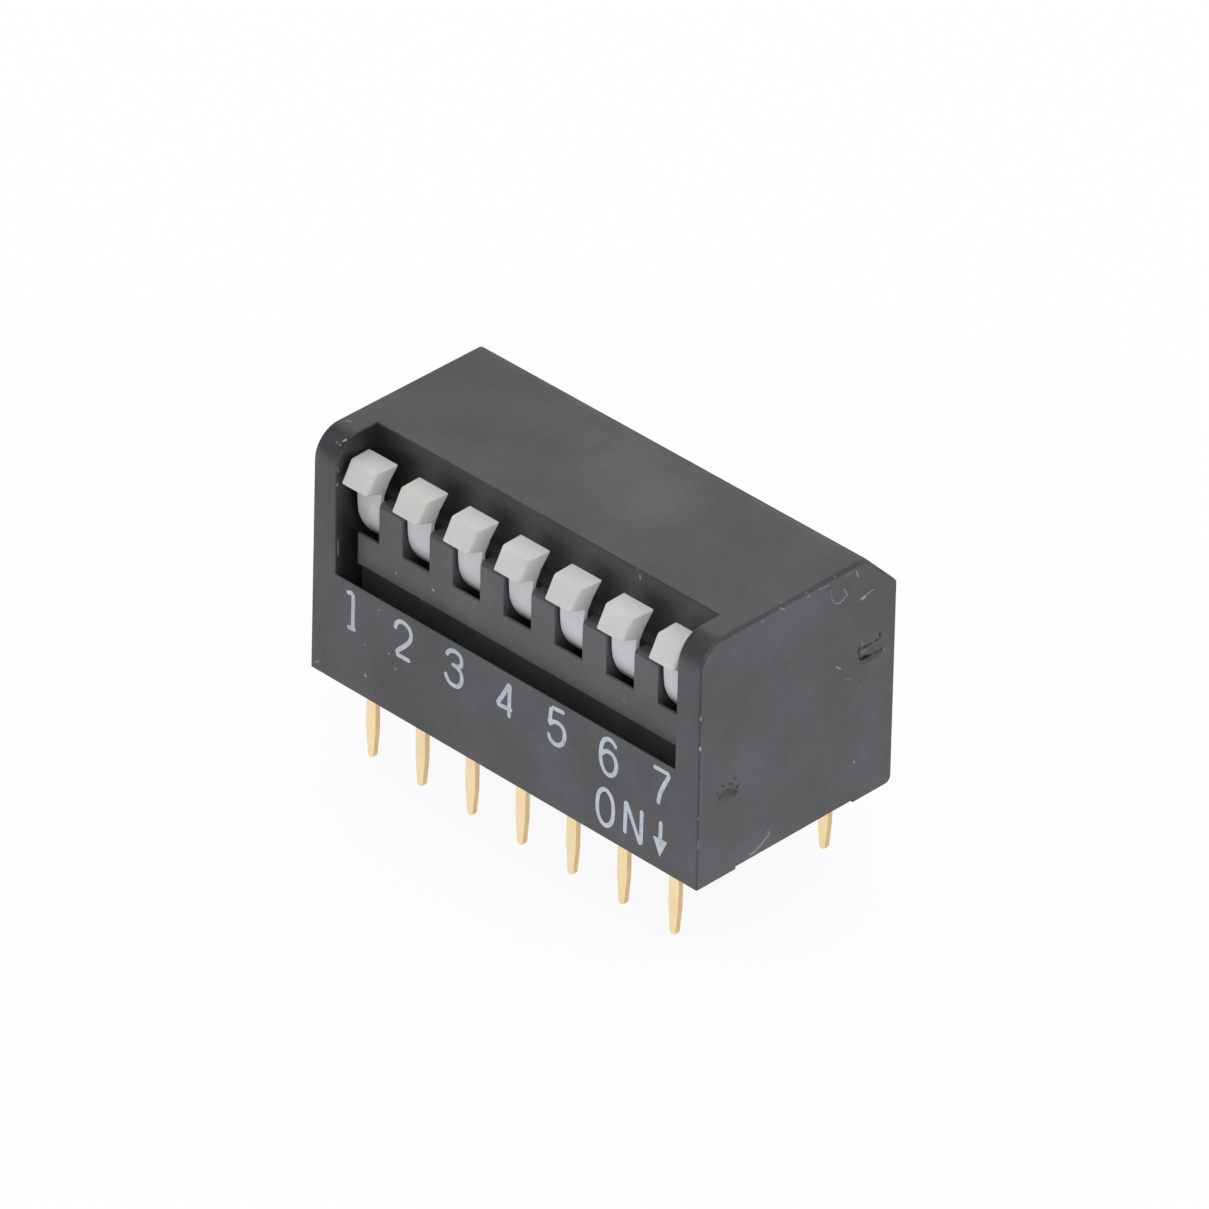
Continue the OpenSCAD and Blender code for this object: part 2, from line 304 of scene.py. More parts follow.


# light strokes on the case: scratches and specks, and painted glints on the end face and on the left jamb;
# from, to, width, strength
caseScratchesAndGlints = [
    ((9.599, 2.99, 11.96), (9.597, 3.7, 12.09), 0.06, 0.5),
    ((9.599, 3.16, 11.94), (9.599, 3.28, 11.97), 0.1, 0.9),
    ((9.594, 1.79, 12.35), (9.595, 2.02, 12.29), 0.06, 0.4),
    ((9.595, 2.02, 12.29), (9.592, 2.39, 12.48), 0.06, 0.55),
    ((9.589, 2.19, 12.78), (9.592, 2.33, 12.55), 0.05, 0.45),
    ((9.586, 1.53, 13.03), (9.591, 1.59, 12.63), 0.05, 0.22),
    ((9.591, 1.59, 12.63), (9.594, 1.79, 12.35), 0.05, 0.25),
    # painted glints on the end face: the next four strokes
    ((9.621, 3.2, 10.05), (9.622, 3.25, 9.99), 0.08, 0.3),
    ((9.626, 3.2, 9.66), (9.626, 3.5, 9.63), 0.08, 0.35),
    ((9.628, 3.98, 9.5), (9.628, 4.03, 9.47), 0.07, 0.4),
    ((9.63, 4.35, 9.28), (9.631, 4.38, 9.2), 0.07, 0.35),
    ((9.656, -3.1, 7.09), (9.657, -3.06, 7.04), 0.08, 0.15),
    ((9.659, -2.86, 6.84), (9.66, -2.82, 6.76), 0.08, 0.12),
    ((9.626, 1.92, 9.65), (9.629, 2.12, 9.47), 0.07, 0.45),
    ((9.635, 2.39, 8.93), (9.636, 2.64, 8.8), 0.07, 0.15),
    ((9.641, 3.04, 8.36), (9.643, 3.16, 8.24), 0.06, 0.15),
    ((9.679, 2.95, 5.18), (9.68, 2.97, 5.1), 0.08, 0.5),
    ((9.697, -2.27, 3.68), (9.696, -1.97, 3.72), 0.06, 0.6),
    ((9.696, -1.97, 3.72), (9.694, -1.61, 3.92), 0.06, 0.6),
    ((9.694, -1.61, 3.92), (9.691, -1.31, 4.12), 0.06, 0.6),
    ((9.691, -1.31, 4.12), (9.69, -1.39, 4.26), 0.05, 0.4),
    ((9.584, 2.8, 13.23), (9.587, 2.89, 12.99), 0.06, 0.6),
    ((9.581, -1.08, 13.48), (9.583, -0.81, 13.31), 0.06, 0.5),
    ((9.582, -1.98, 13.35), (9.583, -1.88, 13.31), 0.06, 0.4),
    ((9.583, 0.32, 13.28), (9.583, 0.47, 13.32), 0.06, 0.4),
    ((9.582, 0.92, 13.34), (9.583, 1.42, 13.3), 0.05, 0.4),
    ((9.583, 2.22, 13.28), (9.582, 2.52, 13.34), 0.05, 0.3),
    ((9.63, -4.92, 10.68), (9.63, -4.92, 10.58), 0.1, 0.9),
    ((9.64, -4.92, 10.05), (9.64, -4.92, 9.98), 0.07, 0.3),
    ((9.64, -4.92, 9.45), (9.64, -4.92, 9.35), 0.1, 1),
    ((9.66, -4.92, 8), (9.66, -4.92, 7.9), 0.07, 0.3),
    ((9.66, -4.92, 6.52), (9.66, -4.92, 6.42), 0.08, 0.35),
    ((9.67, -4.92, 5.5), (9.67, -4.92, 5.15), 0.06, 0.3),
    ((-8.85, -4.6, 13.22), (-8.81, -4.57, 13.25), 0.06, 0.5),
    ((-8.62, -4.46, 13.33), (-8.57, -4.38, 13.39), 0.09, 0.85),
    ((-8.66, -4.6, 13.22), (-8.62, -4.59, 13.23), 0.06, 0.6),
    ((-8.36, -4.3, 13.4), (-8.32, -4.27, 13.43), 0.06, 0.6),
    ((-9.3, -3.66, 13.53), (-9.1, -3.6, 13.53), 0.08, 0.4),
    # painted glints on the inner face of the left jamb, near its front: the next three strokes
    ((-8.46, -4.84, 9.4), (-8.46, -4.83, 8.72), 0.06, 0.8),
    ((-8.46, -4.9, 11.8), (-8.46, -4.88, 11.72), 0.08, 0.8),
    ((-8.46, -4.92, 12.5), (-8.46, -4.86, 12.3), 0.05, 0.4),
    ((-9.46, -4.95, 3.72), (-9.28, -4.95, 3.84), 0.06, 0.5),
    ((-6.9, -4.95, 4.4), (-6.87, -4.95, 4.38), 0.11, 0.9),
    ((-6.25, -4.95, 7.5), (-6.2, -4.95, 7.55), 0.07, 0.4),
    ((-5.72, -4.95, 5.88), (-5.68, -4.95, 5.95), 0.07, 0.5),
    ((-5.4, -4.95, 5.4), (-5.34, -4.95, 5.45), 0.08, 0.4),
    ((-6.95, -4.95, 5.68), (-6.9, -4.95, 5.72), 0.07, 0.3),
    ((4.64, -2.96, 13.33), (4.66, -2.96, 13.18), 0.07, 0.6),
    ((1.7, -2.96, 10.9), (1.74, -2.96, 10.86), 0.07, 0.5),
]


# where the case is darker, as [mm where it begins, mm where it is full] along x, y or z
darker = {"colour": (0.012, 0.0115, 0.013), "edges": 0.08, "backEdges": 0.25, "hollowShadeAndDirt": 0.85,
          "backY": (3.0, 4.6), "endX": (9.2, 9.5), "roofZ": (12.6, 13.3)}
# painted sheen: the roof is painted darker away from its middle, as far as the edge of the chamfer
roofPaintedSheen = {"amount": 0.4, "middle": (0.5, 1.0, 13.5), "topZ": (13.3, 13.5), "fade": (1.5, 4.5),
            "backY": (3.2, 3.0)}
# painted shade in the window recess, as [mm where it begins, mm where it is full]: how much, and how much
# more towards the left
recessPaintedShade = {"frontY": (-4.88, -4.5), "lipY": (-2.6, -2.8), "leftX": (-8.62, -8.55), "rightX": (8.66, 8.6),
          "topZ": (13.5, 13.42), "shadeAmount": 0.3, "shadeAmountLeft": 0.45, "leftFade": (3.0, -8.0)}


def makeBlackPlastic(name, colours, scratchesAndGlints=(), rub=0.5, dust=0.25, window=False):
    material, tree, shader, position = newMaterial(name, Specular_IOR_Level=0.75, IOR=1.52)
    grain = useGroup(tree, grainGroup, {"Position": position, "Fineness": 16.0, "Unevenness": 0.35})
    colour = mixColour(tree, grain["Tone"], *colours)
    edge = addNode(tree, "Attribute", attribute_name="edge").outputs["Fac"]
    across, deep, high = (addNode(tree, "SeparateXYZ", {0: position}).outputs[k] for k in range(3))
    nearRim = mathNode(tree, "MAXIMUM", smoothStep(tree, across, *darker["endX"]),
                       smoothStep(tree, high, *darker["roofZ"]))
    backness = mathNode(tree, "MULTIPLY", smoothStep(tree, deep, *darker["backY"]), nearRim)
    shade = mathNode(tree, "ADD", mathNode(tree, "MULTIPLY", backness, darker["backEdges"]), darker["edges"])
    colour = mixColour(tree, mathNode(tree, "MULTIPLY", edge, shade), colour, darker["colour"])
    # the pressed mould marks are darkened by their depth: painted shade and dirt in the hollows
    markShadeAndDirt = addNode(tree, "Attribute", attribute_name="markShadeAndDirt").outputs["Fac"]
    colour = mixColour(tree, mathNode(tree, "MULTIPLY", markShadeAndDirt, darker["hollowShadeAndDirt"]), colour, darker["colour"])
    if window:
        # painted sheen on the roof: darker away from its middle
        away = addNode(tree, "VectorMath", {0: position, 1: roofPaintedSheen["middle"]},
                       operation="DISTANCE").outputs["Value"]
        roof = smoothStep(tree, high, *roofPaintedSheen["topZ"])
        for value, side in ((away, "fade"), (deep, "backY")):
            roof = mathNode(tree, "MULTIPLY", roof, smoothStep(tree, value, *roofPaintedSheen[side]))
        roof = mathNode(tree, "MULTIPLY", roof, roofPaintedSheen["amount"])
        colour = mixColour(tree, roof, colour, darker["colour"])
        # painted shade inside the window recess, stronger towards the left
        inside = smoothStep(tree, deep, *recessPaintedShade["frontY"])
        for value, side in ((deep, "lipY"), (across, "leftX"), (across, "rightX"), (high, "topZ")):
            inside = mathNode(tree, "MULTIPLY", inside, smoothStep(tree, value, *recessPaintedShade[side]))
        leftness = smoothStep(tree, across, *recessPaintedShade["leftFade"])
        shadeAmount = mathNode(tree, "ADD", mathNode(tree, "MULTIPLY", leftness, recessPaintedShade["shadeAmountLeft"]), recessPaintedShade["shadeAmount"])
        colour = mixColour(tree, mathNode(tree, "MULTIPLY", inside, shadeAmount), colour, darker["colour"])
    rubbed = useGroup(tree, edgeGroup, {"Edge": edge, "Position": position, "Fleck Scale": 2.4,
                                        "Amount": rub})["Mask"]
    colour = mixColour(tree, mathNode(tree, "MULTIPLY", rubbed, 0.5), colour, (0.16, 0.16, 0.17))
    specks = useGroup(tree, dustGroup, {"Position": position, "Spacing": 1.6,
                                        "Share": dust, "Size": 0.07})["Mask"]
    colour = mixColour(tree, mathNode(tree, "MULTIPLY", specks, 0.45), colour, (0.3, 0.3, 0.31))
    marks = None
    # light strokes: scratches and specks, and on the case also painted glints
    for start, end, width, strength in scratchesAndGlints:
        mark = useGroup(tree, scratchAndGlintGroup, {"Position": position, "From": start, "To": end,
                                             "Width": width, "Strength": strength})["Mask"]
        marks = mark if marks is None else mathNode(tree, "MAXIMUM", marks, mark)
    if marks is not None:
        colour = mixColour(tree, marks, colour, (0.42, 0.42, 0.43))
    tree.links.new(colour, shader.inputs["Base Color"])
    rough = addNode(tree, "MapRange", {"Value": grain["Height"], "From Min": 0.4, "From Max": 1.2,
                                       "To Min": 0.38, "To Max": 0.56}).outputs["Result"]
    rough = mathNode(tree, "ADD", rough, mathNode(tree, "MULTIPLY", edge, 0.22))
    tree.links.new(rough, shader.inputs["Roughness"])
    bumped(tree, shader, grain["Height"], 0.6, 0.014)
    return material


def makeWhitePlastic():
    material, tree, shader, position = newMaterial("leverPlastic", IOR=1.48, Subsurface_Weight=0.12,
                                                   Subsurface_Scale=0.25 * mm)
    shader.inputs["Subsurface Radius"].default_value = (1.0, 0.8, 0.6)
    grain = useGroup(tree, grainGroup, {"Position": position, "Fineness": 9.0, "Unevenness": 0.8})
    colour = mixColour(tree, grain["Tone"], (0.725, 0.722, 0.708), (0.69, 0.678, 0.643))
    edge = addNode(tree, "Attribute", attribute_name="edge").outputs["Fac"]
    rubbed = useGroup(tree, edgeGroup, {"Edge": edge, "Position": position, "Fleck Scale": 1.2,
                                        "Amount": 0.6})["Mask"]
    colour = mixColour(tree, mathNode(tree, "MULTIPLY", rubbed, 0.13), colour, (0.5, 0.46, 0.4))
    # faces that look upward are darker
    upward = addNode(tree, "SeparateXYZ", {0: addNode(tree, "NewGeometry").outputs["Normal"]}).outputs[2]
    upwardDarker = mathNode(tree, "MULTIPLY", smoothStep(tree, upward, 0.6, 0.95), 0.16)
    colour = mixColour(tree, upwardDarker, colour, (0.42, 0.4, 0.37))
    specks = useGroup(tree, dustGroup, {"Position": position, "Spacing": 1.3,
                                        "Share": 0.16, "Size": 0.06})["Mask"]
    colour = mixColour(tree, mathNode(tree, "MULTIPLY", specks, 0.45), colour, (0.3, 0.27, 0.24))
    tree.links.new(colour, shader.inputs["Base Color"])
    rough = addNode(tree, "MapRange", {"Value": grain["Height"], "From Min": 0.4, "From Max": 1.2,
                                       "To Min": 0.38, "To Max": 0.5}).outputs["Result"]
    tree.links.new(rough, shader.inputs["Roughness"])
    bumped(tree, shader, grain["Height"], 0.25, 0.01)
    return material


# plated strip: fine drawn lines down the faces, and darker, duller sides where faces look along the row
def makePlatedMetal(name, colours, sideTone, roughness):
    material, tree, shader, position = newMaterial(name, Metallic=1.0)
    stretched = addNode(tree, "Mapping", {"Vector": position, "Scale": (30.0, 30.0, 1.2)}).outputs[0]
    lines = addNode(tree, "TexNoise", {"Vector": stretched, "Scale": 1.0, "Detail": 3.0}).outputs["Fac"]
    grain = useGroup(tree, grainGroup, {"Position": position, "Fineness": 12.0, "Unevenness": 1.1})
    colour = mixColour(tree, grain["Tone"], *colours)
    facing = addNode(tree, "SeparateXYZ", {0: addNode(tree, "NewGeometry").outputs["Normal"]}).outputs[0]
    side = smoothStep(tree, mathNode(tree, "ABSOLUTE", facing), 0.6, 0.9)
    broken = smoothStep(tree, lines, 0.25, 0.6)
    patchy = mathNode(tree, "ADD", mathNode(tree, "MULTIPLY", broken, 0.5), 0.5)
    colour = mixColour(tree, mathNode(tree, "MULTIPLY", side, patchy), colour, sideTone)
    specks = useGroup(tree, dustGroup, {"Position": position, "Spacing": 2.2,
                                        "Share": 0.2, "Size": 0.08})["Mask"]
    colour = mixColour(tree, mathNode(tree, "MULTIPLY", specks, 0.3), colour, (0.45, 0.3, 0.16))
    tree.links.new(colour, shader.inputs["Base Color"])
    rough = addNode(tree, "MapRange", {"Value": lines, "From Min": 0.3, "From Max": 0.7,
                                       "To Min": roughness - 0.06,
                                       "To Max": roughness + 0.06}).outputs["Result"]
    rough = mathNode(tree, "ADD", rough, mathNode(tree, "MULTIPLY", side, 0.12))
    tree.links.new(rough, shader.inputs["Roughness"])
    bumped(tree, shader, mathNode(tree, "ADD", lines, grain["Height"]), 0.2, 0.006)
    return material


def makePrintInk():
    material, tree, shader, position = newMaterial("printInk")
    grain = useGroup(tree, grainGroup, {"Position": position, "Fineness": 20.0, "Unevenness": 2.2})
    colour = mixColour(tree, grain["Tone"], (0.6, 0.645, 0.66), (0.47, 0.51, 0.53))
    thin = addNode(tree, "TexNoise", {"Vector": position, "Scale": 5.0, "Detail": 5.0,
                                      "Roughness": 0.7}).outputs["Fac"]
    worn = smoothStep(tree, thin, 0.52, 0.72)
    colour = mixColour(tree, mathNode(tree, "MULTIPLY", worn, 0.55), colour, (0.2, 0.21, 0.215))
    tree.links.new(colour, shader.inputs["Base Color"])
    rough = addNode(tree, "MapRange", {"Value": grain["Height"], "From Min": 0.4, "From Max": 1.2,
                                       "To Min": 0.5, "To Max": 0.65}).outputs["Result"]
    tree.links.new(rough, shader.inputs["Roughness"])
    bumped(tree, shader, grain["Height"], 0.3, 0.008)
    return material


# light specks on the comb of the base, told as the strokes are
baseSpecks = [
    ((-4.2, -4.3, 9.09), (-4.15, -4.3, 9.06), 0.1, 0.9),
    ((-6.06, -4.3, 8.92), (-6.03, -4.3, 8.88), 0.08, 0.5),
    ((-4.75, -4.3, 8.42), (-4.71, -4.3, 8.38), 0.07, 0.45),
    ((-1.36, -4.3, 8.25), (-1.32, -4.3, 8.22), 0.06, 0.4),
    ((-0.54, -4.3, 9.68), (-0.5, -4.3, 9.64), 0.06, 0.25),
    ((5.3, -4.3, 9.02), (5.33, -4.3, 8.98), 0.07, 0.35),
]
# the two tones of each material, and for metal that of its darker sides
tones = {"case": ((0.068, 0.065, 0.074), (0.046, 0.044, 0.049)),
         "base": ((0.094, 0.089, 0.095), (0.072, 0.068, 0.072)),
         "pin": ((0.985, 0.8, 0.505), (0.955, 0.745, 0.435)), "pinSides": (0.7, 0.49, 0.26),
         "wiper": ((0.86, 0.64, 0.34), (0.8, 0.57, 0.28)), "wiperSides": (0.6, 0.42, 0.2)}
casePlastic = makeBlackPlastic("casePlastic", tones["case"], caseScratchesAndGlints, window=True)
basePlastic = makeBlackPlastic("basePlastic", tones["base"], baseSpecks, rub=0.35, dust=0.3)
leverPlastic = makeWhitePlastic()
pinPlating = makePlatedMetal("pinPlating", tones["pin"], tones["pinSides"], 0.3)
wiperPlating = makePlatedMetal("wiperPlating", tones["wiper"], tones["wiperSides"], 0.28)
printInk = makePrintInk()
print("materials made")

# widths in mm by which the edges of the case are rounded
caseEdges = {"roof": 0.14, "back": 0.12, "corner": 0.08, "foot": 0.05, "window": 0.05, "inside": 0.03}
caseSize = {"endX": 9.55, "frontY": -4.95, "backY": 4.95, "footZ": 3.4, "topZ": 13.54,
            "frontR": 1.15, "footR": 0.28}


def caseEdgeWidth(middle, turn, convex):
    x, y, z = middle
    topArc = (caseSize["frontY"] + caseSize["frontR"], caseSize["topZ"] - caseSize["frontR"])
    footArc = (caseSize["backY"] - caseSize["footR"], caseSize["footZ"] + caseSize["footR"])
    if not convex:
        return 0
    if abs(x) > caseSize["endX"]:
        if y < topArc[0] and z > topArc[1]:  # the width grows evenly round the arc
            share = math.atan2(z - topArc[1], topArc[0] - y) / (math.pi / 2)
            return caseEdges["corner"] + (caseEdges["roof"] - caseEdges["corner"]) * share
        if y > footArc[0] and z < footArc[1]:
            share = math.atan2(y - footArc[0], footArc[1] - z) / (math.pi / 2)
            return caseEdges["foot"] + (caseEdges["back"] - caseEdges["foot"]) * share
        if z < caseSize["footZ"] + 0.12:
            return caseEdges["foot"]
        if z > caseSize["topZ"] - 0.1:
            return caseEdges["roof"]
        return caseEdges["corner"] if y < topArc[0] else caseEdges["back"]
    if y > 3 and (z > caseSize["topZ"] - 0.1 or y > caseSize["backY"] - 0.1):
        return caseEdges["back"]
    if z < caseSize["footZ"] + 0.12:
        return caseEdges["foot"] if abs(y) > caseSize["backY"] - 0.4 else 0.02
    return caseEdges["window"] if y < -2.8 and z > 7.5 else caseEdges["inside"]


# shallow marks left by the mould on the end face: each window goes from and to in y, then in z,
# and each mark has its y, z, half width, half height, depth, and turn in degrees
endMarks = [
    {"window": (2.86, 4.42, 8.98, 10.2), "marks": [
        (3.4, 9.33, 0.27, 0.09, 0.17, -8), (3.62, 9.27, 0.16, 0.08, 0.1, -10),
        (3.95, 9.27, 0.3, 0.07, 0.07, 3), (4.24, 9.31, 0.045, 0.09, 0.1, 10),
        (3.65, 9.15, 0.55, 0.06, 0.04, 3), (3.09, 9.85, 0.08, 0.1, 0.1, 20),
        (3.04, 9.75, 0.05, 0.09, 0.07, 10), (3.5, 9.81, 0.34, 0.055, 0.13, 2),
        (3.95, 9.83, 0.17, 0.05, 0.1, 4), (4.12, 9.98, 0.06, 0.13, 0.13, 4),
        (3.66, 9.44, 0.66, 0.4, 0.045, 0), (3.12, 9.5, 0.08, 0.3, 0.05, 12),
    ]},
    {"window": (-4.2, -2.8, 6.5, 7.5), "marks": [
        (-3.69, 7.26, 0.1, 0.06, 0.06, -20), (-3.13, 7.33, 0.1, 0.06, 0.06, -20),
        (-4.01, 7.09, 0.06, 0.09, 0.045, 0), (-2.98, 6.91, 0.06, 0.1, 0.07, 0),
        (-3.1, 6.67, 0.15, 0.07, 0.08, 15), (-3.4, 6.85, 0.45, 0.16, 0.06, -18),
        (-3.55, 6.92, 0.62, 0.4, 0.045, 0), (-3.3, 7.15, 0.2, 0.06, 0.04, -20),
        (-3.85, 6.85, 0.1, 0.12, 0.04, 0),
    ]},
]
# how deep a mark counts as fully darkened, with painted shade and dirt, and how ragged its outline is: the
# amount, and two waves in y and z
markLook = {"darkAt": 0.1, "ragged": 0.16, "waves": ((31, 9), (-13, 27))}


# lets a fine grid into the end face of the case at a window, and presses the marks into it
def pressMarks(obj, window, marks, cuts=44):
    y0, y1, z0, z1 = window
    mesh = obj.data

    def selectWindowFace():
        deselectAll()
        pick(obj)
        for face in mesh.polygons:
            face.select = False
        around = []
        for face in mesh.polygons:
            if face.normal.x < 0.9 or face.center.x < caseSize["endX"] * mm:
                continue
            ys = [mesh.vertices[i].co.y / mm for i in face.vertices]
            zs = [mesh.vertices[i].co.z / mm for i in face.vertices]
            if min(ys) < (y0 + y1) / 2 < max(ys) and min(zs) < (z0 + z1) / 2 < max(zs):
                around.append(face)
        min(around, key=lambda face: face.area).select = True
        bpy.ops.object.mode_set(mode="EDIT")
        bpy.ops.mesh.select_mode(type="FACE")

    alongY, alongZ = (0, 1, 0), (0, 0, 1)
    cutPlanes = (((0, y0, 0), alongY), ((0, y1, 0), alongY), ((0, 0, z0), alongZ), ((0, 0, z1), alongZ))
    for point, way in cutPlanes:
        selectWindowFace()
        bpy.ops.mesh.bisect(plane_co=[v * mm for v in point], plane_no=way)
        bpy.ops.object.mode_set(mode="OBJECT")
    selectWindowFace()
    bpy.ops.mesh.subdivide(number_cuts=cuts)
    bpy.ops.object.mode_set(mode="OBJECT")
    # how deep each point is pressed, kept for the painted shade and dirt of the marks
    markShadeAndDirt = mesh.attributes.get("markShadeAndDirt") or mesh.attributes.new("markShadeAndDirt", "FLOAT", "POINT")
    first, second = markLook["waves"]
    for vertex in mesh.vertices:
        x, y, z = vertex.co / mm
        if x < caseSize["endX"] or not (y0 < y < y1 and z0 < z < z1):
            continue
        pressed = 0
        for markY, markZ, width, height, depth, turn in marks:
            c, s = math.cos(math.radians(turn)), math.sin(math.radians(turn))
            u, v = (y - markY) * c + (z - markZ) * s, (z - markZ) * c - (y - markY) * s
            ragged = 1 + (markLook["ragged"] * math.sin(first[0] * y + first[1] * z)
                          * math.cos(second[1] * z + second[0] * y))
            away = math.hypot(u / width, v / height) * ragged
            if away < 1:
                pressed += depth * (1 - away * away)
        vertex.co.x -= pressed * mm
        markShadeAndDirt.data[vertex.index].value = min(1, pressed / markLook["darkAt"])
    mesh.update()


case = cleanCopy("case", "caseShell")
roundEdges(case, caseEdgeWidth, 4)
for place in endMarks:
    pressMarks(case, place["window"], place["marks"])
evenShading(case)
dressed(case, casePlastic)
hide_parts("case")
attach(case, "housing")
print("case done,", len(case.data.polygons), "faces")


# widths in mm by which the edges of the base are rounded
baseEdges = {"ejector": 0.01, "comb": 0.05, "rest": 0.03}
baseSize = {"footZ": 3.7, "combY": -3.6, "combZ": 8, "marksX": 8, "marksY": 1}
# round marks of the ejector pins, and the gate between them, in the underside: x, y, radius, depth
ejectorMarks = [(-6.35, 0.0, 0.75, 0.04), (6.35, 0.0, 0.75, 0.04), (0.0, 0.0, 0.4, 0.07)]


def baseEdgeWidth(middle, turn, convex):
    onMarks = abs(middle.x) < baseSize["marksX"] and abs(middle.y) < baseSize["marksY"]
    if onMarks and middle.z < baseSize["footZ"] + 0.1:
        return baseEdges["ejector"]
    onComb = convex and middle.y < baseSize["combY"] and middle.z > baseSize["combZ"]
    return baseEdges["comb"] if onComb else baseEdges["rest"]


base = cleanCopy("base", "baseBlock")
for x, y, radius, depth in ejectorMarks:
    deselectAll()
    bpy.ops.mesh.primitive_cylinder_add(vertices=40, radius=radius * mm, depth=2 * depth * mm,
                                        location=(x * mm, y * mm, baseSize["footZ"] * mm))
    stamp = bpy.context.active_object
    settle(stamp)
    applied(base, "BOOLEAN", operation="DIFFERENCE", solver="EXACT", object=stamp)
    bpy.data.objects.remove(stamp)
roundEdges(base, baseEdgeWidth, 2)
evenShading(base)
dressed(base, basePlastic)
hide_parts("base")
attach(base, "housing")
print("base done,", len(base.data.polygons), "faces")

# widths in mm by which a lever's edges are rounded
leverEdges = {"headCorner": 0.17, "headBrow": 0.14, "headSide": 0.05, "headFoot": 0.08, "headRim": 0.05,
              "neck": 0.07, "rest": 0.03, "inward": 0.02}
wiperEdge = 0.02
pivot = {"y": -1.75, "z": 10.35}


def leverEdgeWidth(middle, turn, convex):
    back, rise = middle.y - pivot["y"], middle.z - pivot["z"]
    aside = abs(middle.x - keyX(middleKey))
    if not convex:
        return leverEdges["inward"]
    if rise > 1.3 and back < -1.6 and (aside > 0.605 or aside < 0.1):
        if aside < 0.1:
            return leverEdges["headBrow"] if rise > 2.3 and back < -2.5 else leverEdges["headRim"]
        if back < -2.8 and rise > 1.7:
            return leverEdges["headCorner"]
        if back < -2.6 and rise < 1.6:
            return leverEdges["headFoot"]
        return leverEdges["headSide"] if rise > 2.3 else leverEdges["headRim"]
    return leverEdges["neck"] if back < -2.35 and rise < 0.75 else leverEdges["rest"]


leverModel = cleanCopy(f"lever_{middleKey}", "leverModel")
roundEdges(leverModel, leverEdgeWidth, 4)
evenShading(leverModel, 30)
dressed(leverModel, leverPlastic)
wiperModel = cleanCopy(f"wiper_{middleKey}", "wiperModel")
roundEdges(wiperModel, lambda middle, turn, convex: wiperEdge, 2)
evenShading(wiperModel)
dressed(wiperModel, wiperPlating)
for i in range(1, keyCount + 1):
    shift = (keyX(i) - keyX(middleKey), 0, 0)
    for model, part, slot in ((leverModel, "lever", "lever_plastic"), (wiperModel, "wiper", "wiper_metal")):
        piece = copied(model, f"{part}{i}", shift)
        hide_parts(f"{part}_{i}")
        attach(piece, f"key_{i}")
bpy.data.objects.remove(leverModel)
bpy.data.objects.remove(wiperModel)
print("levers done")

# a pin's sharp corners are rounded more than its slight bends
pinEdges = {"corner": 0.035, "bend": 0.015, "cornerTurn": 45}


def pinEdgeWidth(middle, turn, convex):
    return pinEdges["corner"] if turn > pinEdges["cornerTurn"] else pinEdges["bend"]


for row in ("front", "rear"):
    pinModel = cleanCopy(f"{row}_terminal_{middleKey}", f"{row}PinModel")
    roundEdges(pinModel, pinEdgeWidth, 2)
    evenShading(pinModel)
    dressed(pinModel, pinPlating)
    for i in range(1, keyCount + 1):
        piece = copied(pinModel, f"{row}Pin{i}", (keyX(i) - keyX(middleKey), 0, 0))
        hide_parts(f"{row}_terminal_{i}")
        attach(piece, "housing")
    bpy.data.objects.remove(pinModel)
print("pins done")

